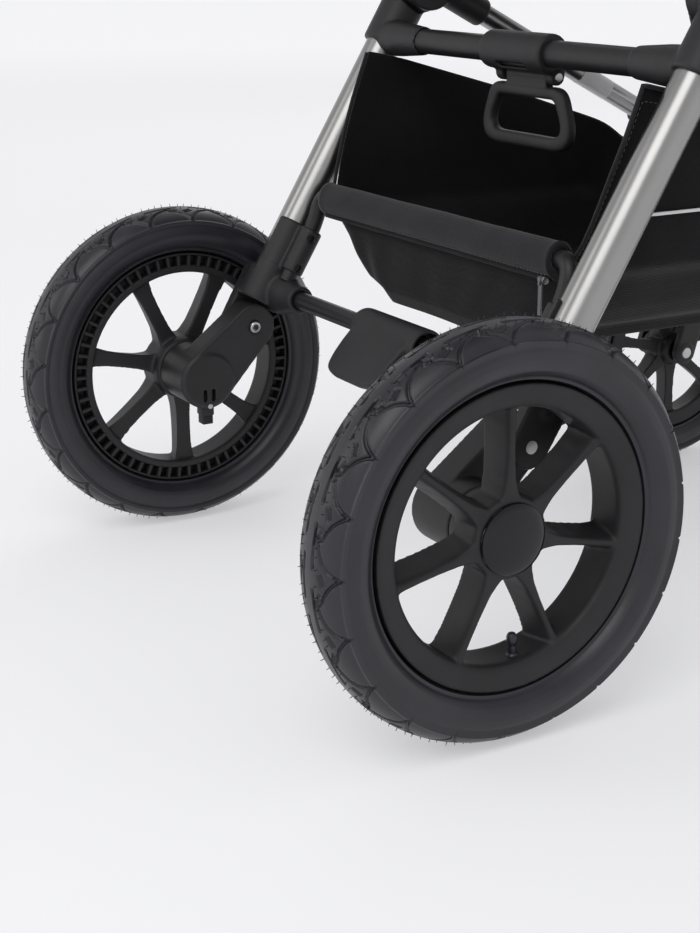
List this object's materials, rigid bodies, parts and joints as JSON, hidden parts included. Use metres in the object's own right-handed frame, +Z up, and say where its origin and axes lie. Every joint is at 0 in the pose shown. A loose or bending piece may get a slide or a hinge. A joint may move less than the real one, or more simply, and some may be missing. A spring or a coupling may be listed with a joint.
{
  "type": "baby stroller",
  "caption": "Four-wheel baby stroller with large sprung rear air wheels, swivel front wheels, folding chassis, telescopic handle, reclining seat, hood and under-seat basket.",
  "frame": {"origin": "middle of the stroller's footprint, on the floor", "axes": "+Z up, -Y is forward (the way the front wheels lead), +X is the stroller's left side"},
  "size_m": [0.5948, 0.8288, 1.089],
  "materials": {
    "anodised_aluminium": "satin anodised",
    "steel": "zinc plated",
    "black_tube": "satin black powder coat",
    "black_plastic": "fine moulded grain",
    "gloss_plastic": "polished black",
    "rubber_tyre": "black rubber",
    "black_fabric": "dark woven polyester",
    "black_leather": "soft grained leatherette"
  },
  "bodies": {
    "rear_frame": {"rear_leg_left": "anodised_aluminium", "rear_leg_right": "anodised_aluminium", "axle_casting_left": "black_plastic", "axle_casting_right": "black_plastic", "axle_cross_tube": "black_tube", "basket_bar": "black_tube", "leg_joint_left": "black_plastic", "leg_joint_right": "black_plastic", "rear_crossbar": "black_tube", "fold_housing": "black_plastic", "suspension_bolt_left": "steel", "suspension_bolt_right": "steel", "seat_frame": "black_plastic", "seat_pad": "black_fabric", "basket": "black_fabric"},
    "front_frame": {"front_leg_left": "anodised_aluminium", "front_leg_right": "anodised_aluminium", "front_hub_left": "black_plastic", "front_hub_right": "black_plastic", "caster_housing_left": "black_plastic", "caster_housing_right": "black_plastic", "front_bar": "black_tube"},
    "handle_sides": {"handle_lower_left": "anodised_aluminium", "handle_lower_right": "anodised_aluminium"},
    "handle_top": {"handle_upper": "anodised_aluminium", "handle_grip": "black_leather"},
    "fold_button": {"fold_button": "gloss_plastic"},
    "pull_handle": {"pull_handle": "black_plastic"},
    "brake_pedal": {"brake_pedal": "black_plastic"},
    "backrest": {"backrest_frame": "black_tube", "backrest_pad": "black_fabric", "hood_canopy": "black_fabric"},
    "recline_lever": {"recline_lever": "black_plastic"},
    "leg_rest": {"leg_rest": "black_plastic"},
    "bumper_bar": {"bumper_bar": "black_leather"},
    "hood_front": {"hood_bow_front": "black_tube"},
    "hood_middle": {"hood_bow_middle": "black_tube"},
    "suspension_left": {"suspension_arm_left": "black_plastic", "rear_axle_left": "steel"},
    "rear_wheel_left": {"rear_tyre_left": "rubber_tyre", "rear_rim_left": "black_plastic", "rear_hub_cap_left": "gloss_plastic"},
    "release_tab_left": {"release_tab_left": "black_plastic"},
    "brake_pin_left": {"brake_pin_left": "steel"},
    "fork_left": {"front_fork_left": "black_plastic", "front_axle_left": "steel"},
    "front_wheel_left": {"front_tyre_left": "rubber_tyre", "front_rim_left": "black_plastic"},
    "suspension_right": {"suspension_arm_right": "black_plastic", "rear_axle_right": "steel"},
    "rear_wheel_right": {"rear_tyre_right": "rubber_tyre", "rear_rim_right": "black_plastic", "rear_hub_cap_right": "gloss_plastic"},
    "release_tab_right": {"release_tab_right": "black_plastic"},
    "brake_pin_right": {"brake_pin_right": "steel"},
    "fork_right": {"front_fork_right": "black_plastic", "front_axle_right": "steel"},
    "front_wheel_right": {"front_tyre_right": "rubber_tyre", "front_rim_right": "black_plastic"}
  },
  "joints": [
    {"name": "chassis_fold", "type": "hinge", "parent": "rear_frame", "child": "handle_sides", "pos_m": [0, 0.00262, 0.502], "axis": [1, 0, 0], "range_deg": [0, 150]},
    {"name": "front_leg_fold", "type": "hinge", "parent": "rear_frame", "child": "front_frame", "pos_m": [0, 0.00262, 0.502], "axis": [1, 0, 0], "range_deg": [0, 40.01], "deforming": ["basket"]},
    {"name": "handle_height", "type": "slide", "parent": "handle_sides", "child": "handle_top", "axis": [0, 0.6027, 0.798], "range_m": [-0.08, 0.04]},
    {"name": "fold_button_press", "type": "slide", "parent": "handle_top", "child": "fold_button", "axis": [0, 0.798, -0.6027], "range_m": [0, 0.0025], "stiffness_N_per_m": 400},
    {"name": "pull_handle_swing", "type": "hinge", "parent": "rear_frame", "child": "pull_handle", "pos_m": [0, 0.02762, 0.431], "axis": [1, 0, 0], "range_deg": [0, 70]},
    {"name": "brake_pedal_press", "type": "hinge", "parent": "rear_frame", "child": "brake_pedal", "pos_m": [0, 0.15562, 0.222], "axis": [-1, 0, 0], "range_deg": [0, 16]},
    {"name": "backrest_recline", "type": "hinge", "parent": "rear_frame", "child": "backrest", "pos_m": [0, 0.00062, 0.575], "axis": [1, 0, 0], "range_deg": [-45, 8]},
    {"name": "recline_lever_lift", "type": "slide", "parent": "backrest", "child": "recline_lever", "axis": [0, 0.4226, 0.9063], "range_m": [0, 0.006], "stiffness_N_per_m": 400},
    {"name": "leg_rest_tilt", "type": "hinge", "parent": "rear_frame", "child": "leg_rest", "pos_m": [0, -0.23838, 0.556], "axis": [1, 0, 0], "range_deg": [-60, 10]},
    {"name": "bumper_bar_tilt", "type": "hinge", "parent": "rear_frame", "child": "bumper_bar", "pos_m": [0, -0.05638, 0.622], "axis": [1, 0, 0], "range_deg": [-15, 40]},
    {"name": "hood_fold", "type": "hinge", "parent": "backrest", "child": "hood_front", "pos_m": [0, 0.14008, 0.87408], "axis": [-1, 0, 0], "range_deg": [0, 55]},
    {"name": "hood_middle_fold", "type": "hinge", "parent": "backrest", "child": "hood_middle", "pos_m": [0, 0.14008, 0.87408], "axis": [-1, 0, 0], "range_deg": [0, 25]},
    {"name": "suspension_left", "type": "hinge", "parent": "rear_frame", "child": "suspension_left", "pos_m": [0, 0.18762, 0.195], "axis": [1, 0, 0], "range_deg": [-4, 8], "stiffness_Nm_per_rad": 60, "springref_deg": -1.38},
    {"name": "rear_wheel_spin_left", "type": "hinge", "parent": "suspension_left", "child": "rear_wheel_left", "pos_m": [0.27, 0.23562, 0.15], "axis": [1, 0, 0], "continuous": true},
    {"name": "release_tab_press_left", "type": "slide", "parent": "suspension_left", "child": "release_tab_left", "axis": [0, 0, 1], "range_m": [0, 0.004], "stiffness_N_per_m": 400},
    {"name": "brake_pin_slide_left", "type": "slide", "parent": "rear_frame", "child": "brake_pin_left", "axis": [1, 0, 0], "range_m": [0, 0.0121]},
    {"name": "caster_swivel_left", "type": "hinge", "parent": "front_frame", "child": "fork_left", "pos_m": [0.186, -0.33438, 0.3], "axis": [0, 0, 1], "continuous": true},
    {"name": "front_wheel_spin_left", "type": "hinge", "parent": "fork_left", "child": "front_wheel_left", "pos_m": [0.186, -0.29438, 0.12], "axis": [1, 0, 0], "continuous": true},
    {"name": "suspension_right", "type": "hinge", "parent": "rear_frame", "child": "suspension_right", "pos_m": [0, 0.18762, 0.195], "axis": [1, 0, 0], "range_deg": [-4, 8], "stiffness_Nm_per_rad": 60, "springref_deg": -1.38},
    {"name": "rear_wheel_spin_right", "type": "hinge", "parent": "suspension_right", "child": "rear_wheel_right", "pos_m": [-0.27, 0.23562, 0.15], "axis": [1, 0, 0], "continuous": true},
    {"name": "release_tab_press_right", "type": "slide", "parent": "suspension_right", "child": "release_tab_right", "axis": [0, 0, 1], "range_m": [0, 0.004], "stiffness_N_per_m": 400},
    {"name": "brake_pin_slide_right", "type": "slide", "parent": "rear_frame", "child": "brake_pin_right", "axis": [-1, 0, 0], "range_m": [0, 0.0121]},
    {"name": "caster_swivel_right", "type": "hinge", "parent": "front_frame", "child": "fork_right", "pos_m": [-0.186, -0.33438, 0.3], "axis": [0, 0, 1], "continuous": true},
    {"name": "front_wheel_spin_right", "type": "hinge", "parent": "fork_right", "child": "front_wheel_right", "pos_m": [-0.186, -0.29438, 0.12], "axis": [1, 0, 0], "continuous": true}
  ],
  "couplings": [
    {"joint": "front_leg_fold", "follows": "chassis_fold", "ratio": 0.26667},
    {"joint": "hood_middle_fold", "follows": "hood_fold", "ratio": 0.45},
    {"joint": "brake_pin_slide_left", "follows": "brake_pedal_press", "m_per_rad": 0.042972},
    {"joint": "brake_pin_slide_right", "follows": "brake_pedal_press", "m_per_rad": 0.042972}
  ]
}
